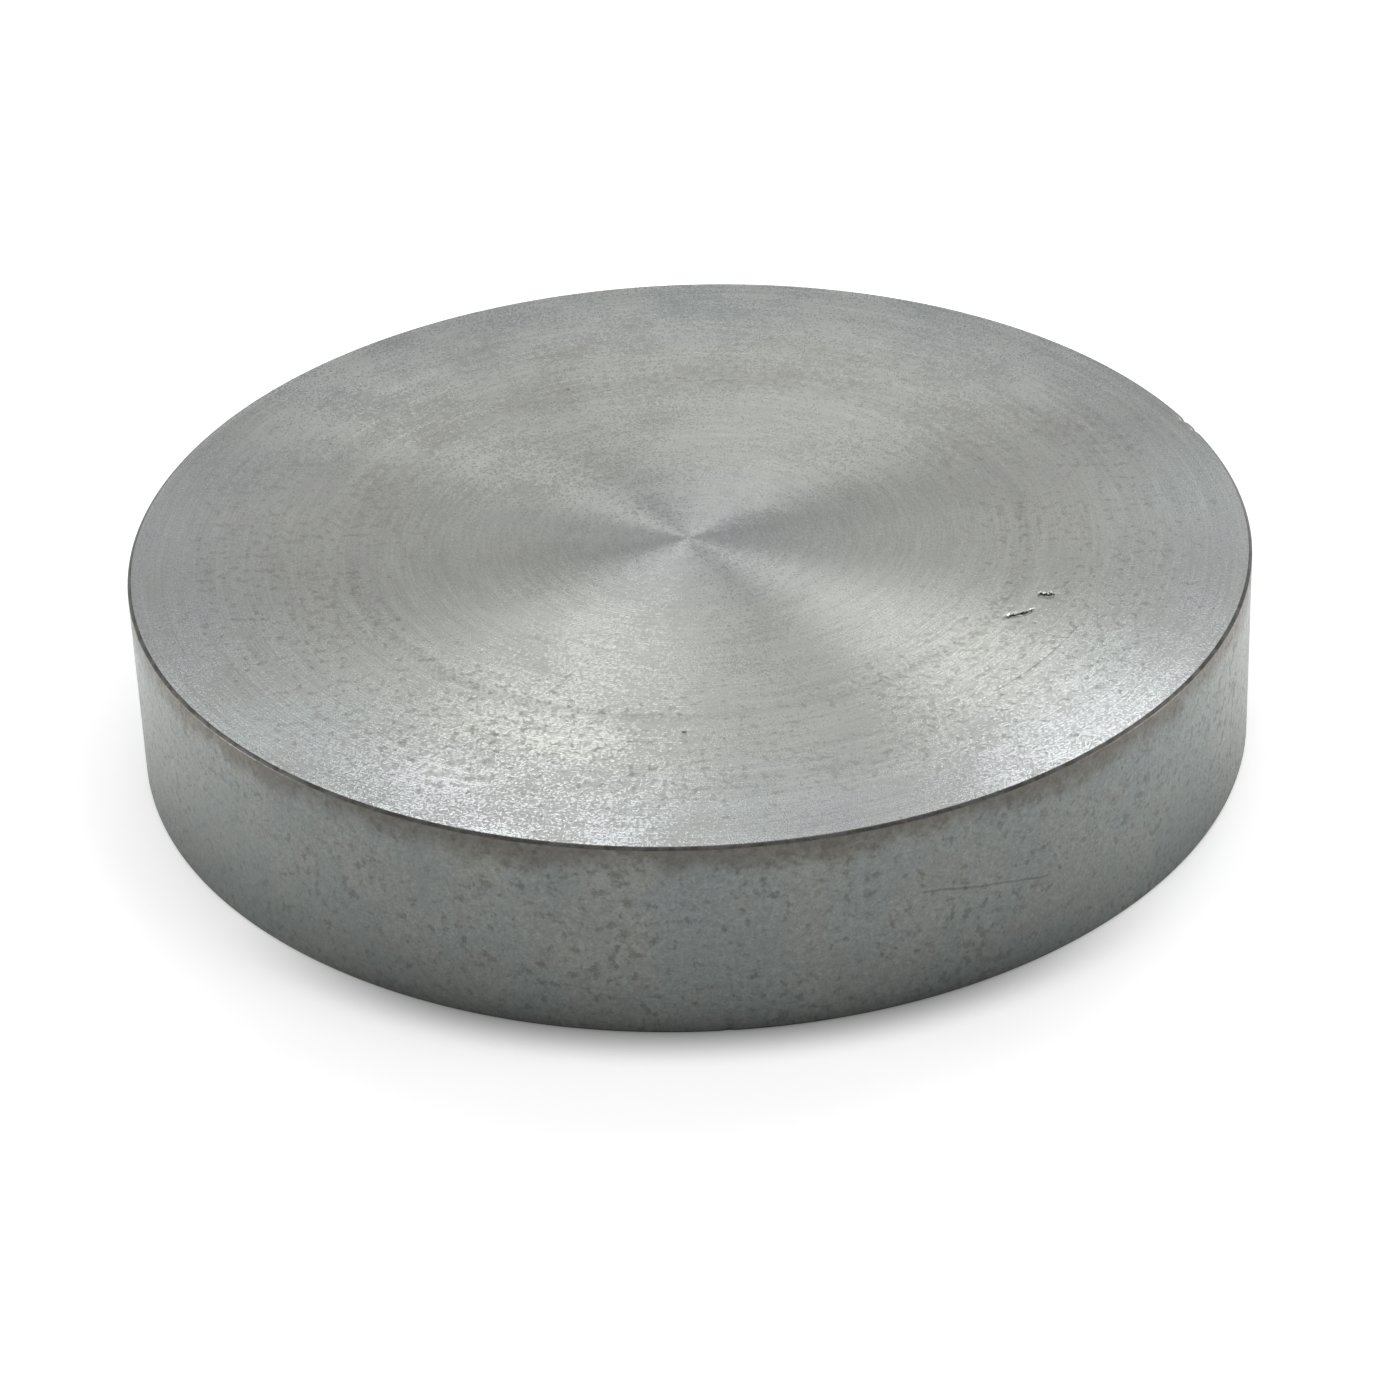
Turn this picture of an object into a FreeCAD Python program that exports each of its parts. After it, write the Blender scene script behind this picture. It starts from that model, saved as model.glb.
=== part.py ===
"""Blind flange: a plain round steel disc, faced and turned on a lathe, that closes the end of a pipe.

The whole flange is one machined piece. It has no bore, no bolt holes and no groove: a clamp or a
split ring around its rim presses it against the mating flange, with a gasket between the faces.

Frame: millimetres, +Z up. The origin is the centre of the lower face, and Z is the turning axis.
"""
import FreeCAD, Part
import os

# Driving dimensions
OUTER_DIAMETER = 60.0
THICKNESS = 11.0
EDGE_BREAK = 0.15  # the lathe's small 45 degree chamfer, which takes the burr off both rims

# Worked out from them
OUTER_RADIUS = OUTER_DIAMETER / 2
FLAT_RADIUS = OUTER_RADIUS - EDGE_BREAK  # how far each flat face reaches
WALL_BOTTOM = EDGE_BREAK
WALL_TOP = THICKNESS - EDGE_BREAK

TURNING_AXIS = FreeCAD.Vector(0, 0, 1)
LOWER_CENTRE = FreeCAD.Vector(0, 0, 0)


def half_section():
    """The outline the lathe tool follows, from the lower centre round the rim to the upper centre."""
    corners = [
        (0, 0),
        (FLAT_RADIUS, 0),
        (OUTER_RADIUS, WALL_BOTTOM),
        (OUTER_RADIUS, WALL_TOP),
        (FLAT_RADIUS, THICKNESS),
        (0, THICKNESS),
    ]
    outline = [FreeCAD.Vector(radius, 0, height) for radius, height in corners]
    return Part.Face(Part.makePolygon(outline + outline[:1]))


def flange_disc():
    """The disc: its half section turned once round the axis."""
    return half_section().revolve(LOWER_CENTRE, TURNING_AXIS, 360)


def write_part(name, shape):
    """Write one sub-part and say what it measures."""
    shape.exportStep(f"parts/{name}.step")
    box = shape.BoundBox
    print(
        f"{name}: {box.XLength:.2f} x {box.YLength:.2f} x {box.ZLength:.2f} mm,",
        f"volume {shape.Volume:.1f} mm3, solids {len(shape.Solids)}, valid {shape.isValid()}",
    )


os.makedirs("parts", exist_ok=True)
write_part("flange_disc", flange_disc())
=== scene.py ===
# %% [markdown]
# # A blind flange, turned from one piece of steel
#
# A blind flange closes the end of a pipe. This one is the plainest kind: a round disc, cut from bar,
# faced and turned on a lathe. All its character is in how the metal was worked. The tool left fine
# rings on the faces, its chamfer took the burr off both rims, and storage added brown flecks, a few
# dents and a dull rim. So this lesson is mostly about one good surface and three finishes on it.
#
# The CAD model is the frame. It fixes the size and the place, and nothing here changes them.

# %% Load the CAD frame
import math

import bpy
import numpy as np
from mathutils import Matrix, Vector


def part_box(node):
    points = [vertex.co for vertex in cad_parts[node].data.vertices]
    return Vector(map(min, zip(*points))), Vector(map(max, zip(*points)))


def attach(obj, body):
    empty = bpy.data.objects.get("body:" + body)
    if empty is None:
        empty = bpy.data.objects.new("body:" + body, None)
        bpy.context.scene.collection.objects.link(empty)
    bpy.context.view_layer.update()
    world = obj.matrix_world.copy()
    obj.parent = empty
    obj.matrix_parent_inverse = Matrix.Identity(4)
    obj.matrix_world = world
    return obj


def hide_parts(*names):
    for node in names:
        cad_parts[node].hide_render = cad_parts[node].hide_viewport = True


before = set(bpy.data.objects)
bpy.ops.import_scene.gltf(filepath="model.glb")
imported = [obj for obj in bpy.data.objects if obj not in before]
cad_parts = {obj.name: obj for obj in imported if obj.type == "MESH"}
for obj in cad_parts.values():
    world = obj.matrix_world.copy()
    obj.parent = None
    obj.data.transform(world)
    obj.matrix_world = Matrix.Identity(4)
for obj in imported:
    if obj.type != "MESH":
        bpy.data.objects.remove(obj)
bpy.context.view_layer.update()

DISC = "flange_disc"
MM = 0.001  # in metres
lowest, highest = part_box(DISC)
RADIUS = (highest.x - lowest.x) / 2
THICKNESS = highest.z - lowest.z
EDGE_BREAK = 0.15 * MM
print(f"disc radius {RADIUS / MM:.2f} mm, thickness {THICKNESS / MM:.2f} mm")

# %% [markdown]
# ## Where the rings and the spokes of the grid go
#
# The disc is a surface of two parameters: how far along the outline the tool has come, and how far the
# work has turned. A grid of rings and spokes follows from that. Most of the disc is smooth and needs
# few of either, but the dents need many. A density curve settles it: a flat base plus a bump at each
# place that has something to show. Adding the density up and reading the sum backwards gives spacings
# that are wide on plain metal and tight at the dents, and the mesh stays light.

# %% Spacing that follows a density
FINE_STEPS = 40000
SPOKES = 460


def spaced_by_density(low, high, count, places):
    """count values from low to high. Each place is (where, how wide, how much denser). The density is
    1 plus a bell curve at each place, and the values are where its running sum passes equal shares."""
    fine = np.linspace(low, high, FINE_STEPS)
    density = np.ones_like(fine)
    for where, width, weight in places:
        density += weight * np.exp(-(((fine - where) / width) ** 2))
    share = np.concatenate([[0.0], np.cumsum((density[1:] + density[:-1]) / 2)])
    return np.interp(np.linspace(0.0, share[-1], count), share, fine)


DENTS, SCRATCH_END = (336.0, 4.6, 5.0), (312.0, 1.5, 2.0)
KNOCKS = [(22.8, 0.8, 6.0), (20.4, 0.8, 6.0), (273.2, 0.7, 6.0)]
busy_bearings = [DENTS, SCRATCH_END] + KNOCKS
bearings = np.radians(spaced_by_density(0.0, 360.0, SPOKES + 1, busy_bearings)[:-1])
gaps = np.degrees(np.diff(bearings))
print(f"{SPOKES} spokes, {gaps.min():.2f} to {gaps.max():.2f} degrees apart")

# %% [markdown]
# ## The outline that the tool follows
#
# On the lathe the shape is a half section: out along the upper face, over a 45 degree chamfer, down the
# rim, over the second chamfer and back along the lower face. A chamfer straight from the tool still
# has a tiny radius at each of its corners, and that radius is what catches a thread of light, so each
# corner is rounded with a short quadratic curve.

# %% Half section, from the upper centre to the lower centre
CORNER_ROUND = 0.04 * MM
CORNER_POINTS = 5
FACE_RINGS = 100
WALL_RINGS = 26
LOWER_RINGS = 46
TOOL_CHANGE = 0.597  # where the facing tool was lifted and set down again, as a share of the radius
LOWER_TOOL_CHANGE = 0.52


def rounded_corner(before, corner, after):
    """Points over one corner: the curve (1-t)^2 A + 2t(1-t) C + t^2 B, where A and B lie one corner
    round before and after the corner C on its two runs."""
    before, corner, after = (np.array(point, float) for point in (before, corner, after))
    start = corner + (before - corner) / np.linalg.norm(before - corner) * CORNER_ROUND
    end = corner + (after - corner) / np.linalg.norm(after - corner) * CORNER_ROUND
    t = np.linspace(0.0, 1.0, CORNER_POINTS)[:, None]
    return (1 - t) ** 2 * start + 2 * t * (1 - t) * corner + t**2 * end


def straight_run(radii, heights):
    """A straight stretch of the outline, as rows of (radius, height)."""
    return np.stack(np.broadcast_arrays(radii, heights), axis=1).astype(float)


flat_radius = RADIUS - EDGE_BREAK
upper_break, upper_rim = (flat_radius, THICKNESS), (RADIUS, THICKNESS - EDGE_BREAK)
lower_rim, lower_break = (RADIUS, EDGE_BREAK), (flat_radius, 0.0)
busy_both = [(0.99, 0.02, 2.0), (0.0, 0.03, 3.0)]
busy_upper = [(0.653, 0.026, 7.0), (0.753, 0.005, 14.0), (TOOL_CHANGE, 0.012, 4.0)] + busy_both
busy_lower = [(LOWER_TOOL_CHANGE, 0.012, 4.0)] + busy_both
face_reach = flat_radius - CORNER_ROUND
upper_radii = spaced_by_density(0.0, 1.0, FACE_RINGS, busy_upper)[1:-1] * face_reach
lower_radii = spaced_by_density(0.0, 1.0, LOWER_RINGS, busy_lower)[-2:0:-1] * face_reach
wall_heights = np.linspace(upper_rim[1] - CORNER_ROUND, lower_rim[1] + CORNER_ROUND, WALL_RINGS)[1:-1]
outline = np.concatenate(
    [
        straight_run(upper_radii, THICKNESS),
        rounded_corner((0.0, THICKNESS), upper_break, upper_rim),
        rounded_corner(upper_break, upper_rim, lower_rim),
        straight_run(RADIUS, wall_heights),
        rounded_corner(upper_rim, lower_rim, lower_break),
        rounded_corner(lower_rim, lower_break, (0.0, 0.0)),
        straight_run(lower_radii, 0.0),
    ]
)
print(f"{len(outline)} rings from the upper centre to the lower centre")

# %% [markdown]
# ## What has happened to the metal
#
# Real marks are shapes, so they go into the mesh and not only into the finish. The faces keep a shallow
# groove where the tool was set down again, and a tiny pip in the middle, where the cutting speed falls
# to nothing. Handling added two gouges, one long scratch that follows the rings, and knocks on the
# rims. Each is a bell curve or a ring of one. A gouge pushes metal down and throws up a lip round it.

# %% Relief of the faces and knocks on the rims
HOLLOW = 0.04 * MM  # a facing cut is set a hair hollow, so that the face seals at its outside
TOOL_CHANGE_DEPTH = 0.010 * MM
TOOL_CHANGE_WIDTH = 0.32 * MM
LOWER_TOOL_CHANGE_WIDTH = 0.30 * MM
PIP_HEIGHT, PIP_WIDTH = 0.020 * MM, 0.16 * MM
SCRATCH_REACH = 0.753  # a long scratch that follows the rings, as a share of the radius
SCRATCH_ENDS = (312.5, 333.5)  # degrees
SCRATCH_FADE = 1.2  # degrees
SCRATCH_DEPTH, SCRATCH_WIDTH = 0.008 * MM, 0.055 * MM


def bell(distance, width):
    """1 at distance 0, falling smoothly to nothing: exp(-(distance / width)^2)."""
    return np.exp(-((distance / width) ** 2))


# Two dents, side by side where something hard fell. Lengths in mm: centre x, centre y, heading in
# degrees, half length, half width, depth, and how lumpy the floor is.
GOUGES = [
    (17.18, -8.90, 27.0, 0.86, 0.17, 0.10, 0.25),
    (18.69, -7.07, 12.0, 0.46, 0.28, 0.07, 0.55),
]  # the longer dent comes first, because the burr belongs to it
EDGE_WANDER = (0.35, 3.2, 0.6)  # the dents' edges wander: size, how often, where the wave starts
LUMPS_ALONG, LUMPS_ACROSS = 6.1, 4.3  # how fast the lumps on a dent's floor come and go
LIP_AT, LIP_WIDTH, LIP_HEIGHT = 1.3, 0.28, 0.05  # the height is a share of the depth
BURR_OUT, BURR_HEIGHT, BURR_WIDTH = 0.92, 0.022, 0.12  # mm, out along the longer dent
KNOCK_SLOPE = 0.8  # a knock on a rim pushes about as much towards mid thickness as inwards


def gouge(x, y, centre_x, centre_y, heading, half_length, half_width, depth, lumps):
    """A dent in a flat face, as heights. q is the distance from its centre, measured so that the dent's
    oval edge is at q = 1. The floor is -depth * exp(-q^4), rough by lumps, and a low lip is a bell just
    outside the edge, higher on the side that the metal was pushed to."""
    lean = math.radians(heading)
    dx, dy = x / MM - centre_x, y / MM - centre_y
    along = (dx * math.cos(lean) + dy * math.sin(lean)) / half_length
    across = (dy * math.cos(lean) - dx * math.sin(lean)) / half_width
    size, often, start = EDGE_WANDER
    across = across + size * np.sin(often * along + start)
    q = np.sqrt(along**2 + across**2)
    roughness = 1 + lumps * np.sin(LUMPS_ALONG * along + 1.0) * np.cos(LUMPS_ACROSS * across)
    floor = -depth * roughness * np.exp(-(q**4))
    one_sided = 0.6 - 0.4 * np.tanh(2 * across)
    raised = LIP_HEIGHT * depth * bell(q - LIP_AT, LIP_WIDTH) * one_sided
    return (floor + raised) * MM


def burr(x, y):
    """The crumb of metal that the longer dent pushed out of its near end, as heights."""
    centre_x, centre_y = GOUGES[0][:2]
    lean = math.radians(GOUGES[0][2])
    x_off = x / MM - centre_x + BURR_OUT * math.cos(lean)
    y_off = y / MM - centre_y + BURR_OUT * math.sin(lean) + 0.04
    return BURR_HEIGHT * MM * bell(np.hypot(x_off, y_off), BURR_WIDTH)


def upper_relief(x, y):
    """Height to add to the upper face at (x, y): hollow, tool change, pip, gouges and arc scratch."""
    r = np.hypot(x, y)
    bearing = np.degrees(np.arctan2(y, x)) % 360
    height = HOLLOW * ((r / flat_radius) ** 2 - 1)
    height -= TOOL_CHANGE_DEPTH * bell(r - TOOL_CHANGE * RADIUS, TOOL_CHANGE_WIDTH)
    height += PIP_HEIGHT * bell(r, PIP_WIDTH)
    height += sum(gouge(x, y, *dent) for dent in GOUGES) + burr(x, y)
    start, end = SCRATCH_ENDS
    on_arc = np.tanh((bearing - start) / SCRATCH_FADE) - np.tanh((bearing - end) / SCRATCH_FADE)
    height -= SCRATCH_DEPTH * on_arc / 2 * bell(r - SCRATCH_REACH * RADIUS, SCRATCH_WIDTH)
    return height


def lower_relief(x, y):
    """Height to add to the lower face, which is hollow upwards and has its own tool change."""
    r = np.hypot(x, y)
    height = HOLLOW * (1 - (r / flat_radius) ** 2)
    height += TOOL_CHANGE_DEPTH * bell(r - LOWER_TOOL_CHANGE * RADIUS, LOWER_TOOL_CHANGE_WIDTH)
    return height


def knock(points, bearing, height, size, depth):
    """Pushes a rim in where something struck it: every point moves towards the disc's middle by
    depth * exp(-(d / size)^2), where d is its distance from the place that was struck."""
    turn = math.radians(bearing)
    struck = np.array([RADIUS * math.cos(turn), RADIUS * math.sin(turn), height])
    slope = -KNOCK_SLOPE if height > THICKNESS / 2 else KNOCK_SLOPE
    inward = np.array([-math.cos(turn), -math.sin(turn), slope])
    distance = np.linalg.norm(points - struck, axis=-1)
    return points + depth * bell(distance, size)[..., None] * inward


rim_knocks = [  # bearing in degrees, height, size and depth
    (22.8, THICKNESS, 0.30 * MM, 0.10 * MM),
    (20.4, THICKNESS, 0.22 * MM, 0.09 * MM),
    (273.2, 0.15 * MM, 0.22 * MM, 0.06 * MM),
]
print(f"{len(GOUGES)} dents, {len(rim_knocks)} knocks and a scratch")

# %% [markdown]
# ## The disc as one closed mesh
#
# Every ring of the outline is turned round the axis at once: the product of one column of radii and one
# row of bearings is the whole grid. The two centres are single points, so the poles are closed, and the
# last spoke joins the first, so there is no seam. The signed volume of the mesh says whether its faces
# look outwards, and it should agree with the CAD solid.

# %% Build the mesh
x_grid = outline[:, :1] * np.cos(bearings)
y_grid = outline[:, :1] * np.sin(bearings)
z_grid = np.broadcast_to(outline[:, 1:], x_grid.shape).copy()
z_grid += np.where(outline[:, 1:] > THICKNESS - EDGE_BREAK / 2, upper_relief(x_grid, y_grid), 0.0)
z_grid += np.where(outline[:, 1:] < EDGE_BREAK / 2, lower_relief(x_grid, y_grid), 0.0)
grid = np.stack([x_grid, y_grid, z_grid], axis=2)
for struck in rim_knocks:
    grid = knock(grid, *struck)

rings = len(outline)
upper_pole = [0.0, 0.0, THICKNESS + float(upper_relief(0.0, 0.0))]
lower_pole = [0.0, 0.0, float(lower_relief(0.0, 0.0))]
vertices = np.concatenate([grid.reshape(-1, 3), [upper_pole, lower_pole]])
upper_pole_index, lower_pole_index = rings * SPOKES, rings * SPOKES + 1

here = np.arange(SPOKES)
onward = (here + 1) % SPOKES
row = np.arange(rings - 1)[:, None] * SPOKES
next_row = row + SPOKES
quads = np.stack([row + here, next_row + here, next_row + onward, row + onward], axis=2).reshape(-1, 4)
last_row = (rings - 1) * SPOKES
upper_fan = np.stack([np.full(SPOKES, upper_pole_index), here, onward], axis=1)
lower_fan = np.stack([np.full(SPOKES, lower_pole_index), last_row + onward, last_row + here], axis=1)

FACE, RIM, BROKEN_EDGE = 0, 1, 2
row_height = (outline[:-1, 1] + outline[1:, 1]) / 2
row_radius = (outline[:-1, 0] + outline[1:, 0]) / 2
on_wall = row_radius > RADIUS - CORNER_ROUND / 2
on_flat = row_radius < face_reach
row_finish = np.where(on_flat, FACE, np.where(on_wall, RIM, BROKEN_EDGE))


def piece_from(name, points, four_sided, three_sided):
    """A mesh object from whole arrays: corner indices in one run, then where each face starts."""
    mesh = bpy.data.meshes.new(name)
    corners = np.concatenate([four_sided.ravel(), three_sided.ravel()]).astype(np.int32)
    sizes = np.concatenate([np.full(len(four_sided), 4), np.full(len(three_sided), 3)])
    starts = np.concatenate([[0], np.cumsum(sizes)[:-1]]).astype(np.int32)
    mesh.vertices.add(len(points))
    mesh.vertices.foreach_set("co", points.astype(np.float32).ravel())
    mesh.loops.add(len(corners))
    mesh.loops.foreach_set("vertex_index", corners)
    mesh.polygons.add(len(sizes))
    mesh.polygons.foreach_set("loop_start", starts)
    mesh.polygons.foreach_set("use_smooth", np.ones(len(sizes), bool))
    mesh.update(calc_edges=True)
    mesh.validate()
    made = bpy.data.objects.new(name, mesh)
    bpy.context.scene.collection.objects.link(made)
    return made


finish_of_faces = np.concatenate([np.repeat(row_finish, SPOKES), np.full(2 * SPOKES, FACE)])
fans = np.concatenate([upper_fan, lower_fan])
turned_disc = piece_from("turned_disc", vertices, quads, fans)
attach(turned_disc, "root")
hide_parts(DISC)

triangles = np.concatenate([quads[:, [0, 1, 2]], quads[:, [0, 2, 3]], fans])
a, b, c = (vertices[triangles[:, i]] for i in range(3))
volume = np.einsum("ij,ij->i", a, np.cross(b, c)).sum() / 6
print(f"{len(triangles)} triangles, volume {volume / MM**3:.0f} cubic mm, faces outwards: {volume > 0}")

# %% [markdown]
# ## A short way to wire nodes
#
# A procedural finish is a sum of many small effects, and each effect is a few nodes. These helpers keep
# each one to a line. An input is a plain number or another node's output, and the helper sets or
# links it. Effects that more than one finish needs are node groups, built once, which give out only
# masks and heights. The shader itself stays in the material.

# %% Node helpers
class Wiring:
    """Places nodes in one tree. Every method gives back the output socket of the node it placed."""

    def __init__(self, tree):
        self.tree = tree

    def node(self, kind, inputs=(), **settings):
        placed = self.tree.nodes.new(kind)
        for name, value in settings.items():
            setattr(placed, name, value)
        for name, value in dict(inputs).items():
            if isinstance(value, bpy.types.NodeSocket):
                self.tree.links.new(value, placed.inputs[name])
            else:
                placed.inputs[name].default_value = value
        return placed

    def math(self, operation, first, second=0.0, third=0.0, clamp=False):
        values = {0: first, 1: second, 2: third}
        return self.node("ShaderNodeMath", values, operation=operation, use_clamp=clamp).outputs[0]

    def between(self, value, low, high, to_low=0.0, to_high=1.0, smooth=True):
        """value carried from low..high to to_low..to_high, held at both ends."""
        kind = "SMOOTHSTEP" if smooth else "LINEAR"
        values = {0: value, 1: low, 2: high, 3: to_low, 4: to_high}
        return self.node("ShaderNodeMapRange", values, interpolation_type=kind).outputs[0]

    def noise(self, vector, scale, detail=2.0, roughness=0.5, distortion=0.0):
        values = {"Vector": vector, "Scale": scale, "Detail": detail}
        values.update({"Roughness": roughness, "Distortion": distortion})
        return self.node("ShaderNodeTexNoise", values, noise_dimensions="3D").outputs[0]

    def blend(self, amount, first, second, how="MIX"):
        values = {0: amount, 6: first, 7: second}
        return self.node("ShaderNodeMix", values, data_type="RGBA", blend_type=how).outputs[2]

    def xyz(self, x, y, z):
        return self.node("ShaderNodeCombineXYZ", {0: x, 1: y, 2: z}).outputs[0]

    def split(self, vector):
        return self.node("ShaderNodeSeparateXYZ", {0: vector}).outputs


def new_group(name, inputs, outputs):
    """An empty node group with its sockets. Returns the group, its wiring, its inputs and a function
    that joins a socket to one of its outputs."""
    group = bpy.data.node_groups.new(name, "ShaderNodeTree")
    for socket_name, kind, default in inputs:
        socket = group.interface.new_socket(socket_name, in_out="INPUT", socket_type=kind)
        if default is not None:
            socket.default_value = default
    for socket_name, kind in outputs:
        group.interface.new_socket(socket_name, in_out="OUTPUT", socket_type=kind)
    entry, way_out = group.nodes.new("NodeGroupInput"), group.nodes.new("NodeGroupOutput")

    def give(socket_name, value):
        group.links.new(value, way_out.inputs[socket_name])

    return group, Wiring(group), entry.outputs, give


NUMBER, ARROW = "NodeSocketFloat", "NodeSocketVector"

# %% [markdown]
# ## Tool marks
#
# A lathe tool cuts a fine spiral. Seen from any distance it is a set of rings, one for each turn of the
# work, and no two rings are quite alike. So the pattern needs two places: how far the tool has fed,
# which is the radius on a face and the height on the rim, and how far round the work we are. Noise
# that changes fast along the feed and slowly round the work gives streaks that follow the rings. The
# bearing goes in as a point on a circle, not as an angle, so the pattern has no seam.

# %% The group that draws tool marks
def build_tool_marks():
    group, w, given, give = new_group(
        "tool_marks",
        [("Fed", NUMBER, 0.0), ("Bearing", ARROW, None), ("Pitch", NUMBER, 0.2)],
        [("Rings", NUMBER), ("Streaks", NUMBER), ("Bands", NUMBER)],
    )
    around = w.split(given["Bearing"])
    turns = w.math("DIVIDE", given["Fed"], given["Pitch"])

    def ringed_noise(fed_scale, around_scale, detail):
        place = w.xyz(
            w.math("MULTIPLY", turns, fed_scale),
            w.math("MULTIPLY", around[0], around_scale),
            w.math("MULTIPLY", around[1], around_scale),
        )
        return w.noise(place, 1.0, detail, 0.6)

    uneven = ringed_noise(fed_scale=0.5, around_scale=1.5, detail=1.0)
    wobble = w.math("MULTIPLY", uneven, 3.0)
    wave = w.math("SINE", w.math("MULTIPLY_ADD", turns, 2 * math.pi, wobble))
    give("Rings", w.math("MULTIPLY_ADD", wave, 0.5, 0.5))
    give("Streaks", ringed_noise(fed_scale=0.9, around_scale=4.0, detail=3.0))
    give("Bands", ringed_noise(fed_scale=0.11, around_scale=0.9, detail=3.0))
    return group


tool_marks = build_tool_marks()
print(f"{tool_marks.name}: {len(tool_marks.nodes)} nodes")

# %% [markdown]
# ## Film and flecks
#
# Bare carbon steel does not tarnish evenly. A thin dull film spreads over it like lace and leaves
# islands of clean metal between, which flash where they catch a lamp. Where a finger or a drop touched
# it, small brown flecks grow too, darker and rougher than the rest. Both are noises cut off at a
# level: the lace near the middle, so that it covers about half, and the flecks near the peaks. A
# broader noise decides where they crowd together. Everything is measured in millimetres, so the
# marks keep one size on every surface.

# %% The group that spreads film and flecks
BROADER, LACIER = 0.12, 3.4  # scales of the crowding noise and of the lace, against that of the flecks
FLECK_CUT = 0.74  # the noise has to pass this to make a fleck where nothing crowds
LACE_HALF_WIDTH = 0.045
PIT_CELLS = 0.3  # a mm; each cell can hold one pit
PIT_CHANCE = 0.07


def build_tarnish():
    group, w, given, give = new_group(
        "steel_tarnish",
        [
            ("Place", ARROW, None),
            ("Size", NUMBER, 0.5),
            ("Crowding", NUMBER, 0.5),
            ("Softness", NUMBER, 0.1),
        ],
        [("Flecks", NUMBER), ("Film", NUMBER), ("Pits", NUMBER)],
    )
    place = given["Place"]
    per_mm = w.math("DIVIDE", 1.0, given["Size"])
    fine = w.noise(place, per_mm, 3.0, 0.6, 0.15)
    broad = w.noise(place, w.math("MULTIPLY", per_mm, BROADER), 3.0, 0.55)
    lace = w.noise(place, w.math("MULTIPLY", per_mm, LACIER), 3.0, 0.66)
    off_middle = w.math("SUBTRACT", broad, 0.5)
    cut = w.math("MULTIPLY_ADD", given["Crowding"], -0.20, FLECK_CUT)
    cut = w.math("MULTIPLY_ADD", off_middle, -0.30, cut)
    give("Flecks", w.between(w.math("SUBTRACT", fine, cut), -0.01, given["Softness"]))
    level = w.math("MULTIPLY_ADD", off_middle, 0.35, 0.5)
    give("Film", w.between(w.math("SUBTRACT", lace, level), -LACE_HALF_WIDTH, LACE_HALF_WIDTH))
    cells = w.node("ShaderNodeTexVoronoi", {"Vector": place, "Scale": PIT_CELLS})
    chosen = w.math("GREATER_THAN", w.split(cells.outputs["Color"])[0], 1 - PIT_CHANCE)
    dot = w.between(w.math("DIVIDE", cells.outputs["Distance"], PIT_CELLS), 0.10, 0.17, 1.0, 0.0)
    give("Pits", w.math("MULTIPLY", chosen, dot))
    return group


tarnish = build_tarnish()
print(f"{tarnish.name}: {len(tarnish.nodes)} nodes")

# %% [markdown]
# ## Painted shade in the dents
#
# The far wall of a dent faces the lens and mirrors the dark room in front of the disc, so it shows
# dark. That dark is painted into the colour: darkest under the far wall, lighter along the near wall
# and faint over the floor between them. The group draws it from the same oval as the mesh, so the
# painted shade lies exactly in the dent, with a ragged edge.

# %% The group that draws painted shade in a dent
FAR_WALL, NEAR_WALL = 0.72, 0.92  # where the painted shade is darkest, with the edge of the oval at 1
RAGGED = 1.6
DENT_FLOOR_SHADE = 0.3


def build_dent_shade():
    group, w, given, give = new_group(
        "dent_dirt",
        [
            ("Place", ARROW, None),
            ("Centre", ARROW, None),
            ("Heading", NUMBER, 0.0),
            ("Half length", NUMBER, 1.0),
            ("Half width", NUMBER, 0.2),
        ],
        [("Painted shade", NUMBER)],
    )
    offset = w.node("ShaderNodeVectorMath", {0: given["Place"], 1: given["Centre"]}, operation="SUBTRACT")
    back = w.math("MULTIPLY", given["Heading"], -1.0)
    inputs = {"Vector": offset.outputs[0], "Angle": back}
    x, y, z = w.split(w.node("ShaderNodeVectorRotate", inputs, rotation_type="Z_AXIS").outputs[0])
    along = w.math("DIVIDE", x, given["Half length"])
    across = w.math("DIVIDE", y, given["Half width"])
    size, often, start = EDGE_WANDER
    wave = w.math("SINE", w.math("MULTIPLY_ADD", along, often, start))
    across = w.math("MULTIPLY_ADD", wave, size, across)
    ragged = w.math("SUBTRACT", w.noise(given["Place"], 6.0, 2.0), 0.5)
    across = w.math("MULTIPLY_ADD", ragged, RAGGED, across)
    along_squared, across_squared = w.math("MULTIPLY", along, along), w.math("MULTIPLY", across, across)
    q = w.math("SQRT", w.math("ADD", along_squared, across_squared))
    to_far_wall = w.math("ABSOLUTE", w.math("SUBTRACT", q, FAR_WALL))
    far_side = w.math("MULTIPLY", w.between(across, -0.1, 0.3), w.between(along, -1.0, -0.75))
    far_wall = w.math("MULTIPLY", w.between(to_far_wall, 0.25, 0.45, 1.0, 0.0), far_side)
    to_near_wall = w.math("ABSOLUTE", w.math("SUBTRACT", q, NEAR_WALL))
    near_side = w.between(along, -0.4, 0.0, 0.15, 0.6)
    near_wall = w.math("MULTIPLY", w.between(to_near_wall, 0.08, 0.22, 1.0, 0.0), near_side)
    floor = w.between(q, 0.8, 1.05, DENT_FLOOR_SHADE, 0.0)
    # Painted shade: darkest by the far wall, less by the near wall, faint on the floor between.
    dirt = w.math("MAXIMUM", w.math("MAXIMUM", far_wall, near_wall), floor)
    same_face = w.math("LESS_THAN", w.math("ABSOLUTE", z), 1.0)
    give("Painted shade", w.math("MULTIPLY", dirt, same_face))
    return group


dent_dirt = build_dent_shade()
print(f"{dent_dirt.name}: {len(dent_dirt.nodes)} nodes")

# %% [markdown]
# ## What every finish starts from
#
# All three finishes ask the same first question: where on the work is this point? The answer is read
# from Object coordinates and comes in millimetres, as a place, a distance from the axis, a height and
# a bearing. Each finish then patterns its own colour, roughness and height, and the last helper plugs
# those three into the shader.

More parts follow.
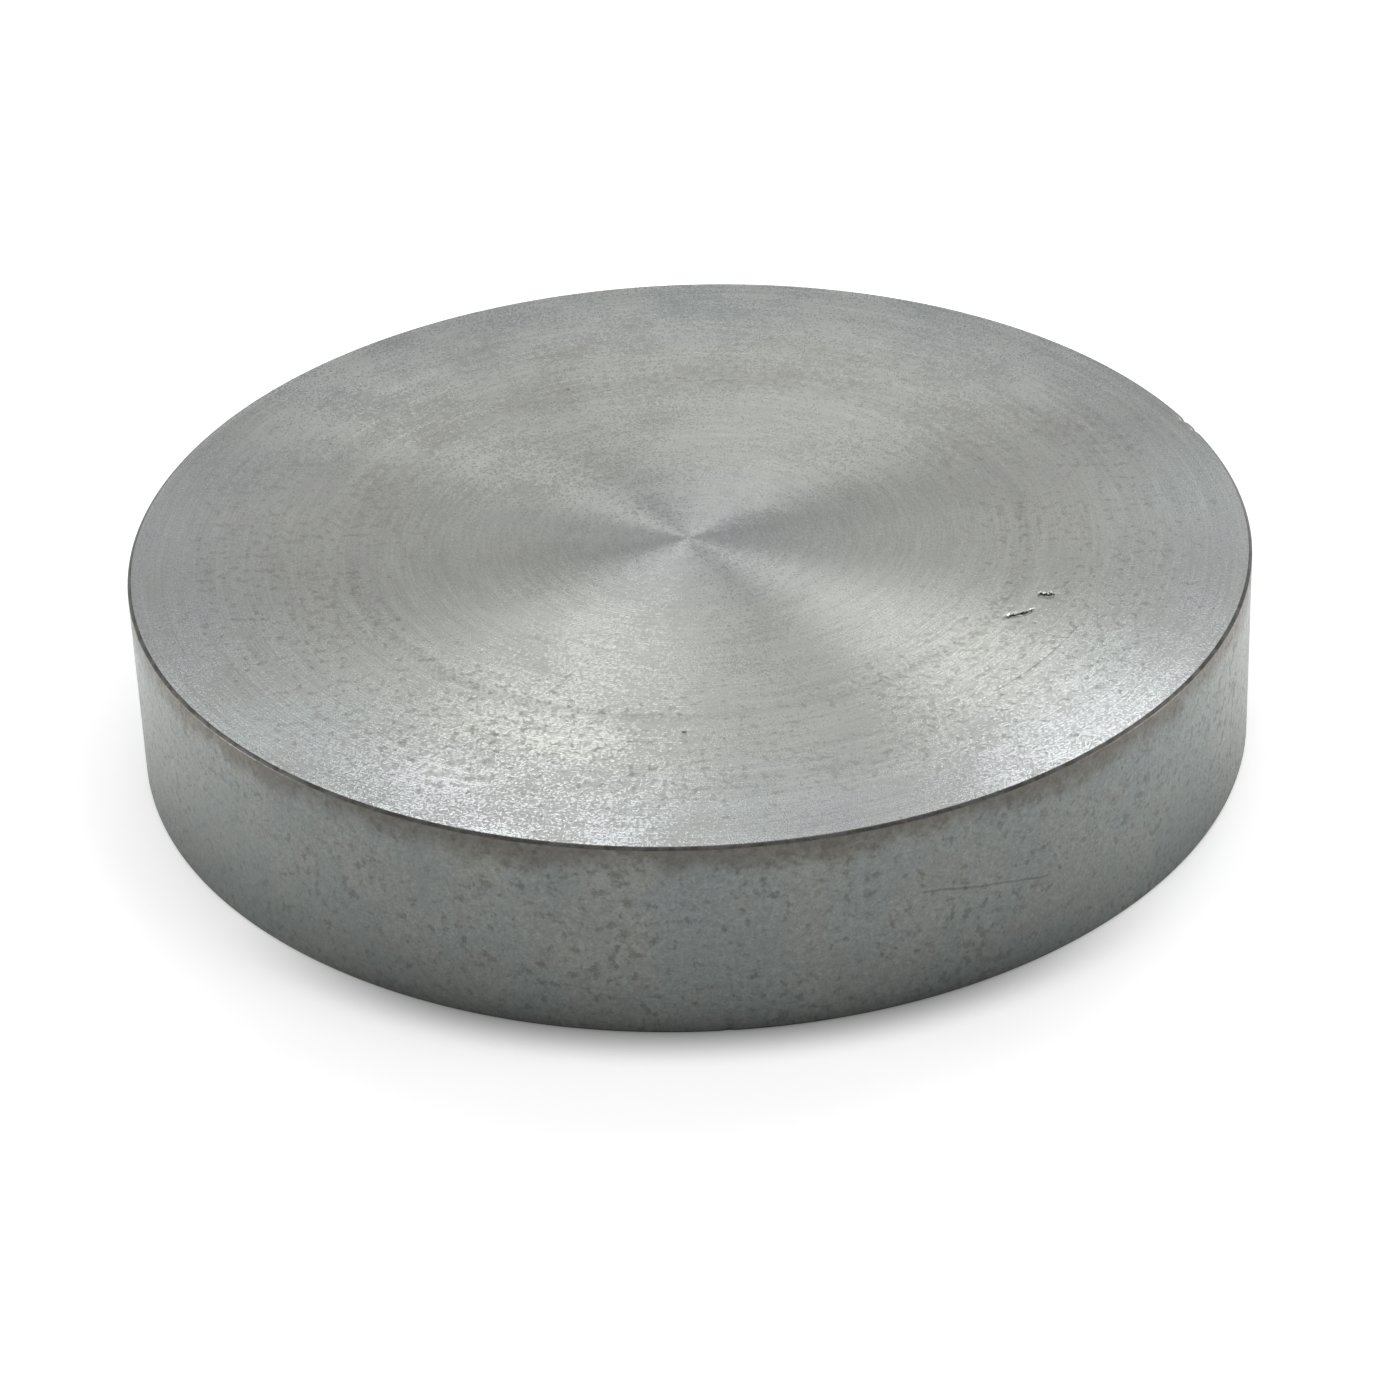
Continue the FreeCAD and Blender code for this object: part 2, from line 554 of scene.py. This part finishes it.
# %% Helpers that every finish uses
R_MM = RADIUS / MM
T_MM = THICKNESS / MM
MICRON = 1e-6


def place_on_work(w):
    """The point in mm, its radius, its height and its bearing as a unit vector."""
    coordinates = w.node("ShaderNodeTexCoord").outputs["Object"]
    scaled = w.node("ShaderNodeVectorMath", {0: coordinates, "Scale": 1 / MM}, operation="SCALE")
    x, y, z = w.split(scaled.outputs[0])
    flat = w.xyz(x, y, 0.0)
    radius = w.node("ShaderNodeVectorMath", {0: flat}, operation="LENGTH").outputs["Value"]
    bearing = w.node("ShaderNodeVectorMath", {0: flat}, operation="NORMALIZE").outputs[0]
    return scaled.outputs[0], radius, z, bearing


def use_group(w, group, inputs):
    placed = w.node("ShaderNodeGroup", node_tree=group)
    for name, value in inputs.items():
        if isinstance(value, bpy.types.NodeSocket):
            w.tree.links.new(value, placed.inputs[name])
        else:
            placed.inputs[name].default_value = value
    return placed.outputs


def new_finish(name, **plain):
    """A material with a Principled BSDF, whose constant inputs are set on its own sockets."""
    finish = bpy.data.materials.new(name)
    finish.use_nodes = True
    shader = finish.node_tree.nodes["Principled BSDF"]
    for socket_name, value in plain.items():
        shader.inputs[socket_name.replace("_", " ")].default_value = value
    return finish, Wiring(finish.node_tree), shader


def dress(w, shader, colour, roughness, height_microns):
    """Joins the patterned inputs. The height goes through a Bump node whose distance is one micron."""
    bump = w.node("ShaderNodeBump", {"Height": height_microns, "Distance": MICRON, "Strength": 1.0})
    tangent = w.node("ShaderNodeTangent", direction_type="RADIAL", axis="Z")
    w.tree.links.new(colour, shader.inputs["Base Color"])
    w.tree.links.new(roughness, shader.inputs["Roughness"])
    w.tree.links.new(bump.outputs[0], shader.inputs["Normal"])
    w.tree.links.new(tangent.outputs[0], shader.inputs["Tangent"])


# %% [markdown]
# ## The turned face
#
# The grooves of a faced surface are finer than the eye can part, so the shader handles them as
# anisotropy: light spreads widely across the grooves and hardly at all along them. That is what
# draws the bright and dark fans that meet in the middle of the disc. The tangent has to run round the
# axis, and the Tangent node gives that direction exactly. On top come the marks that can be seen:
# streaks, the darker ring of the tool change, flecks that keep to a belt between the middle and the
# edge, and a slight warm or cool cast from a very thin oxide film.

# %% Finish of the two faces
ALONG_THE_RINGS = 0.25  # of a turn
COOL_STEEL, GREEN_STEEL = (0.568, 0.578, 0.596, 1), (0.560, 0.602, 0.598, 1)
WARM_STEEL = (0.592, 0.604, 0.562, 1)
FACE_FILM, FACE_FLECK = (0.474, 0.482, 0.466, 1), (0.27, 0.26, 0.24, 1)
FILM_SHOWS, FLECKS_SHOW = 0.9, 0.42
STREAKS_SHOW, BANDS_SHOW, RING_SHOWS = 0.42, 0.15, -0.12
FAR_EDGE_SHADE, SLOW_CUT_DULLS = -0.12, -0.07
SCRATCH_DIRT, PIT_DIRT = 0.30, 0.55
DIRT_AND_SHADE_LEAVE = 0.10  # of the metal's tone
CLEAN_ROUGH, FILMED_ROUGH = 0.27, 0.54
RING_MICRONS, STREAK_MICRONS = 2.0, 6.0
CLEAN_GRAIN_MICRONS, FILMED_GRAIN_MICRONS = 8.0, 4.0
GRAIN_A_MM = 11.0


def lathe_finish(name, anisotropy):
    """A metal whose highlights stretch across the rings by the given amount, from 0 to 1."""
    return new_finish(name, Metallic=1.0, Anisotropic=anisotropy, Anisotropic_Rotation=ALONG_THE_RINGS)


def face_finish():
    finish, w, shader = lathe_finish("turned_face", 0.85)
    place, radius, _, bearing = place_on_work(w)
    share = w.math("DIVIDE", radius, R_MM)
    marks = use_group(w, tool_marks, {"Fed": radius, "Bearing": bearing, "Pitch": 0.2})
    belt = w.math("MULTIPLY", w.between(share, 0.30, 0.62), w.between(share, 0.80, 1.0, 1.0, 0.55))
    crowding = w.math("MULTIPLY", belt, 0.95)
    spots = use_group(w, tarnish, {"Place": place, "Size": 0.5, "Crowding": crowding, "Softness": 0.07})

    cast = w.noise(place, 0.13, 2.0, 0.5)
    blurred_share = w.math("MULTIPLY_ADD", w.math("SUBTRACT", cast, 0.5), 0.30, share)
    warm_inner = w.between(blurred_share, 0.05, 0.34)
    warm_outer = w.between(blurred_share, 0.68, 0.90, 1.0, 0.0)
    warm = w.math("MULTIPLY", warm_inner, warm_outer)
    cool = w.blend(w.between(cast, 0.35, 0.65), COOL_STEEL, GREEN_STEEL)
    metal = w.blend(warm, cool, WARM_STEEL)
    filmed = w.blend(w.math("MULTIPLY", spots["Film"], FILM_SHOWS), metal, FACE_FILM)
    stained = w.blend(w.math("MULTIPLY", spots["Flecks"], FLECKS_SHOW), filmed, FACE_FLECK)

    off_ring = w.math("ABSOLUTE", w.math("SUBTRACT", share, TOOL_CHANGE + 0.003))
    patchy = w.between(marks["Bands"], 0.35, 0.6)
    ring = w.math("MULTIPLY", w.between(off_ring, 0.004, 0.022, 1.0, 0.0), patchy)
    streaked = w.math("MULTIPLY_ADD", w.math("SUBTRACT", marks["Streaks"], 0.5), STREAKS_SHOW, 1.0)
    banded = w.math("MULTIPLY_ADD", w.math("SUBTRACT", marks["Bands"], 0.5), BANDS_SHOW, streaked)
    tone = w.math("MULTIPLY_ADD", ring, RING_SHOWS, banded)
    bearing_x, bearing_y, _ = w.split(bearing)
    # Painted shade: the outer band of the face is made darker on the far side of the disc.
    far_edge_shade = w.math("MULTIPLY", w.between(share, 0.80, 0.97), w.between(bearing_y, 0.0, 0.5))
    tone = w.math("MULTIPLY_ADD", far_edge_shade, FAR_EDGE_SHADE, tone)
    slow_cut = w.between(share, 0.08, 0.42, 1.0, 0.0)  # the tool tears the metal where it turns slowly
    tone = w.math("MULTIPLY_ADD", slow_cut, SLOW_CUT_DULLS, tone)
    off_scratch = w.math("ABSOLUTE", w.math("SUBTRACT", share, SCRATCH_REACH))
    middle = math.radians(sum(SCRATCH_ENDS) / 2)
    half_turn = math.radians(SCRATCH_ENDS[1] - SCRATCH_ENDS[0]) / 2
    towards = w.math("MULTIPLY", bearing_x, math.cos(middle))
    towards = w.math("MULTIPLY_ADD", bearing_y, math.sin(middle), towards)
    on_arc = w.between(towards, math.cos(half_turn), math.cos(0.85 * half_turn))
    scratch = w.math("MULTIPLY", w.between(off_scratch, 0.0008, 0.0024, SCRATCH_DIRT, 0.0), on_arc)
    dirt = w.math("MAXIMUM", scratch, w.math("MULTIPLY", spots["Pits"], PIT_DIRT))
    # The painted shade of the two dents joins the darker scratch and the pits here.
    for centre_x, centre_y, heading, half_length, half_width, *_ in GOUGES:
        inputs = {"Place": place, "Centre": (centre_x, centre_y, T_MM), "Heading": math.radians(heading)}
        inputs.update({"Half length": half_length, "Half width": half_width})
        dirt = w.math("MAXIMUM", dirt, use_group(w, dent_dirt, inputs)["Painted shade"])
    tone = w.math("MULTIPLY", tone, w.between(dirt, 0.0, 1.0, 1.0, DIRT_AND_SHADE_LEAVE, smooth=False))
    colour = w.blend(1.0, stained, w.xyz(tone, tone, tone), "MULTIPLY")

    rough = w.between(spots["Film"], 0.0, 1.0, CLEAN_ROUGH, FILMED_ROUGH, smooth=False)
    rough = w.math("MULTIPLY_ADD", spots["Flecks"], 0.10, rough)
    rough = w.math("MULTIPLY_ADD", ring, 0.06, rough)
    rough = w.math("MULTIPLY_ADD", dirt, 0.25, rough)

    grain = w.math("SUBTRACT", w.noise(place, GRAIN_A_MM, 1.0, 0.5), 0.5)
    grain_ends = CLEAN_GRAIN_MICRONS, FILMED_GRAIN_MICRONS
    grain_height = w.between(spots["Film"], 0.0, 1.0, *grain_ends, smooth=False)
    microns = w.math("MULTIPLY", marks["Rings"], RING_MICRONS)
    microns = w.math("MULTIPLY_ADD", marks["Streaks"], STREAK_MICRONS, microns)
    microns = w.math("MULTIPLY_ADD", grain, grain_height, microns)
    dress(w, shader, colour, rough, microns)
    return finish


# %% [markdown]
# ## The rim and its broken edges
#
# The rim was turned too, but it is the surface that hands and racks touch, and the film on it is
# thicker: a dull blue-grey with many brown flecks, which crowd into a stain just under the upper edge.
# The chamfers are narrow and dark, because the film collects in their corners.

# %% Finish of the rim and of the chamfers
RIM_SCRATCH_ENDS = (-68.0, -53.5)  # degrees
RIM_SCRATCH_HEIGHTS = (0.605, 0.45)  # as shares of the thickness, at the two ends
RIM_SCRATCH_DARKENS = 0.28
BLUE_STEEL, GREY_STEEL = (0.283, 0.310, 0.310, 1), (0.312, 0.322, 0.303, 1)
RIM_FILM, RIM_FLECK = (0.235, 0.245, 0.235, 1), (0.15, 0.140, 0.126, 1)
RIM_STAIN = (0.165, 0.150, 0.130, 1)
RIM_FILM_SHOWS, RIM_FLECKS_SHOW, STAIN_SHOWS, MOTTLE_SHOWS = 0.35, 0.46, 0.75, 0.75
RIM_GRAIN_MICRONS, RIM_STREAK_MICRONS = 22.0, 4.0
EDGE_DARK, EDGE_LIGHT = (0.09, 0.087, 0.08, 1), (0.16, 0.16, 0.155, 1)


def rim_finish():
    finish, w, shader = lathe_finish("dull_rim", 0.35)
    place, _, height, bearing = place_on_work(w)
    marks = use_group(w, tool_marks, {"Fed": height, "Bearing": bearing, "Pitch": 0.25})
    wander = w.noise(place, 0.35, 3.0, 0.6)
    below = w.math("SUBTRACT", T_MM, height)
    below = w.math("MULTIPLY_ADD", w.math("SUBTRACT", wander, 0.5), 3.0, below)
    under_edge = w.between(below, 0.2, 2.0, 1.0, 0.0)
    above_foot = w.between(height, 0.0, 1.2, 1.0, 0.0)
    crowding = w.math("MULTIPLY_ADD", under_edge, 0.30, 1.0)
    crowding = w.math("MULTIPLY_ADD", above_foot, 0.10, crowding)
    spots = use_group(w, tarnish, {"Place": place, "Size": 0.5, "Crowding": crowding, "Softness": 0.15})

    bearing_x, bearing_y, _ = w.split(bearing)
    angle = w.math("ARCTAN2", bearing_y, bearing_x)
    start, end = (math.radians(degrees) for degrees in RIM_SCRATCH_ENDS)
    level = w.between(angle, start, end, *(share * T_MM for share in RIM_SCRATCH_HEIGHTS), smooth=False)
    level = w.math("MULTIPLY_ADD", w.math("SUBTRACT", wander, 0.5), 0.5, level)
    after_start = w.between(angle, start, start + 0.01)
    before_end = w.between(angle, end - 0.01, end, 1.0, 0.0)
    on_arc = w.math("MULTIPLY", after_start, before_end)
    off_scratch = w.math("ABSOLUTE", w.math("SUBTRACT", height, level))
    scratch = w.math("MULTIPLY", w.between(off_scratch, 0.03, 0.10, RIM_SCRATCH_DARKENS, 0.0), on_arc)

    cast = w.noise(place, 0.28, 3.0, 0.6)
    metal = w.blend(w.between(cast, 0.36, 0.64), BLUE_STEEL, GREY_STEEL)
    filmed = w.blend(w.math("MULTIPLY", spots["Film"], RIM_FILM_SHOWS), metal, RIM_FILM)
    flecked = w.blend(w.math("MULTIPLY", spots["Flecks"], RIM_FLECKS_SHOW), filmed, RIM_FLECK)
    stained = w.blend(w.math("MULTIPLY", under_edge, STAIN_SHOWS), flecked, RIM_STAIN)
    mottle = w.noise(place, 3.0, 4.0, 0.7)
    foot_shade_and_scratch = w.between(height, 0.0, 6.0, 0.93, 1.05)  # painted shade, darker towards the foot
    foot_shade_and_scratch = w.math("SUBTRACT", foot_shade_and_scratch, scratch)
    tone = w.math("MULTIPLY_ADD", w.math("SUBTRACT", mottle, 0.5), MOTTLE_SHOWS, foot_shade_and_scratch)
    tone = w.math("MULTIPLY_ADD", w.math("SUBTRACT", marks["Streaks"], 0.5), 0.10, tone)
    colour = w.blend(1.0, stained, w.xyz(tone, tone, tone), "MULTIPLY")

    rough = w.between(spots["Film"], 0.0, 1.0, 0.34, 0.46, smooth=False)
    rough = w.math("MULTIPLY_ADD", spots["Flecks"], 0.10, rough)
    grain = w.noise(place, 6.0, 3.0, 0.6)
    microns = w.math("MULTIPLY", marks["Streaks"], RIM_STREAK_MICRONS)
    microns = w.math("MULTIPLY_ADD", grain, RIM_GRAIN_MICRONS, microns)
    dress(w, shader, colour, rough, microns)
    return finish


def edge_finish():
    finish, w, shader = lathe_finish("broken_edge", 0.3)
    place, *_ = place_on_work(w)
    mottle = w.noise(place, 1.6, 3.0, 0.6)
    colour = w.blend(w.between(mottle, 0.35, 0.65), EDGE_DARK, EDGE_LIGHT)
    rough = w.between(mottle, 0.3, 0.7, 0.42, 0.55)
    dress(w, shader, colour, rough, w.math("MULTIPLY", w.noise(place, 7.0, 2.0), 4.0))
    return finish


for finish in (face_finish(), rim_finish(), edge_finish()):
    turned_disc.data.materials.append(finish)
    print(f"{finish.name}: {len(finish.node_tree.nodes)} nodes")
turned_disc.data.polygons.foreach_set("material_index", finish_of_faces.astype(np.int32))

# %% [markdown]
# ## Camera
#
# A long lens from about eight and a half radii away keeps the ellipses of the two rims nearly alike.
# The camera looks at the middle of the lower face from 32 degrees up and a degree to the right, and
# leans by two degrees.

# %% Place the camera
LENS, SENSOR = 120.55, 36.0  # mm
CAMERA_DISTANCE = 8.596 * RADIUS
CAMERA_BEARING, CAMERA_ELEVATION, CAMERA_LEAN = 1.149, 31.90, -2.17
AIM = Vector((0.25 * MM, 1.15 * MM, 0.0))


def direction(bearing, elevation):
    """Unit vector towards a place seen from the disc: bearing 0 is the front, 90 the right."""
    turn, rise = math.radians(bearing), math.radians(elevation)
    return Vector((math.sin(turn) * math.cos(rise), -math.cos(turn) * math.cos(rise), math.sin(rise)))


camera = bpy.data.objects.new("camera", bpy.data.cameras.new("camera"))
camera.data.lens = LENS
camera.data.sensor_width = SENSOR
camera.data.clip_start, camera.data.clip_end = 0.01, 20.0
backwards = direction(CAMERA_BEARING, CAMERA_ELEVATION)
upright = (-backwards).to_track_quat("-Z", "Y").to_matrix()
lean = Matrix.Rotation(math.radians(CAMERA_LEAN), 3, "Z")
camera.matrix_world = Matrix.Translation(AIM + backwards * CAMERA_DISTANCE) @ (upright @ lean).to_4x4()
bpy.context.scene.collection.objects.link(camera)
bpy.context.scene.camera = camera
print(f"camera at {[round(value / MM) for value in camera.location]} mm")

# %% [markdown]
# ## Floor
#
# The floor is plain and pale, and so bright that it runs into the white behind it. Bare metal shows
# its surroundings more than itself, so the floor also decides how the rim looks, because the rim
# mirrors the ground beside it. The floor glows a little away from the disc and more at the sides and
# behind. That leaves the front of the rim darker towards its foot and lights up its two silhouettes.
# Close under the front edge the floor keeps a contact shadow.

# %% Build the floor
WHITE_GLOW = 0.45  # this one only the camera sees
FRONT_GLOW = 0.12
BACK_GLOW = 0.55
CONTACT_SHADE = 0.75
FLOOR_HALF = 60 * RADIUS
PALE, BLACK, WHITE = (0.86, 0.87, 0.86, 1.0), (0.0, 0.0, 0.0, 1.0), (1.0, 1.0, 1.0, 1.0)


def flat_sheet(name, half_side):
    mesh = bpy.data.meshes.new(name)
    corners = half_side * np.array([[-1, -1, 0], [1, -1, 0], [1, 1, 0], [-1, 1, 0]], float)
    mesh.from_pydata(corners.tolist(), [], [[0, 1, 2, 3]])
    made = bpy.data.objects.new(name, mesh)
    bpy.context.scene.collection.objects.link(made)
    return made


def floor_finish():
    finish, w, shader = new_finish("white_floor", Roughness=0.6, Emission_Color=WHITE)
    finish.cycles.emission_sampling = "NONE"  # the rim finds the glow by reflection
    _, from_axis, _, bearing = place_on_work(w)
    backwards = w.split(bearing)[1]  # -1 in front of the disc and 1 behind it
    beyond = w.between(from_axis, R_MM + 2.0, R_MM + 16.0, 0.0, FRONT_GLOW)
    behind = w.between(backwards, -0.55, 0.35, 0.0, BACK_GLOW)
    seen = w.node("ShaderNodeLightPath").outputs["Is Camera Ray"]
    glow = w.between(seen, 0.0, 1.0, w.math("ADD", beyond, behind), WHITE_GLOW)
    in_front = w.between(backwards, -0.95, -0.60, 1.0, 0.0)
    touching = w.between(from_axis, R_MM - 1.0, R_MM + 3.0, 1.0, 0.0)
    shade = w.math("MULTIPLY_ADD", w.math("MULTIPLY", in_front, touching), -CONTACT_SHADE, 1.0)
    w.tree.links.new(w.blend(shade, BLACK, PALE), shader.inputs["Base Color"])
    w.tree.links.new(w.math("MULTIPLY", glow, shade), shader.inputs["Emission Strength"])
    return finish


floor = flat_sheet("floor", FLOOR_HALF)
floor.data.materials.append(floor_finish())
print(f"floor {2 * FLOOR_HALF:.1f} m across")

# %% [markdown]
# ## Light
#
# Soft square panels stand round the disc. On grooved metal each of them draws a fan, which points the
# way that the grooves have to slope to carry the panel into the lens. Far panels near the horizon
# fill the sides. Near ones behind the disc draw the bright fans. The two closest stand right behind
# the front left and front right edges, so their fans are brightest out there and fade towards the
# middle. The overhead pair lights the fans to the front and the back. The room is darker than the
# floor, which lets the dark fans show.

# %% Build the lights
def soft_panel(name, bearing, elevation, distance, side, watts):
    """A square area light that faces the disc from the given side."""
    light = bpy.data.lights.new(name, "AREA")
    light.shape = "SQUARE"
    light.size = side
    light.energy = watts
    lamp = bpy.data.objects.new(name, light)
    outward = direction(bearing, elevation)
    facing = outward.to_track_quat("Z", "Y").to_matrix().to_4x4()
    lamp.matrix_world = Matrix.Translation(outward * distance) @ facing
    bpy.context.scene.collection.objects.link(lamp)


FAR, NEAR = 0.22, 0.13  # metres from the disc's middle
ROOM_GLOW = 0.43
PANELS = [  # name, distance, bearing, elevation, side and watts
    ("right_low", FAR, 90, 12, 0.05, 0.088),
    ("back_low", FAR, 150, 12, 0.05, 0.034),
    ("back_low_left", FAR, 210, 12, 0.05, 0.014),
    ("left_low", FAR, 270, 12, 0.05, 0.094),
    ("back_middle", FAR, 190, 55, 0.05, 0.008),
    ("right_glint", NEAR, 140, 42, 0.03, 0.0030),
    ("back_glint", NEAR, 160, 42, 0.03, 0.0012),
    ("left_glint", NEAR, 220, 42, 0.03, 0.0037),
    ("right_high", NEAR, 135, 54, 0.03, 0.0128),
    ("left_high", NEAR, 215, 54, 0.03, 0.0030),
    ("left_higher", NEAR, 230, 66, 0.03, 0.0034),
    ("right_close", 0.083, 140, 54.6, 0.03, 0.0036),
    ("left_close", 0.077, 205, 62.4, 0.03, 0.0053),
    ("overhead_right", NEAR, 60, 78, 0.035, 0.0186),
    ("overhead_left", NEAR, 300, 78, 0.035, 0.0098),
]
for name, distance, bearing, elevation, side, watts in PANELS:
    soft_panel(name, bearing, elevation, distance, side, watts)
print(f"{len(PANELS)} panels")

room = bpy.data.worlds.new("room")
room.use_nodes = True
room_wiring = Wiring(room.node_tree)
backdrop = room.node_tree.nodes["Background"]
backdrop.inputs["Color"].default_value = (1.0, 1.0, 1.0, 1.0)
seen = room_wiring.node("ShaderNodeLightPath").outputs["Is Camera Ray"]
strength = room_wiring.between(seen, 0.0, 1.0, ROOM_GLOW, 1.0)
room.node_tree.links.new(strength, backdrop.inputs["Strength"])
bpy.context.scene.world = room
bpy.context.scene.view_settings.view_transform = "Standard"
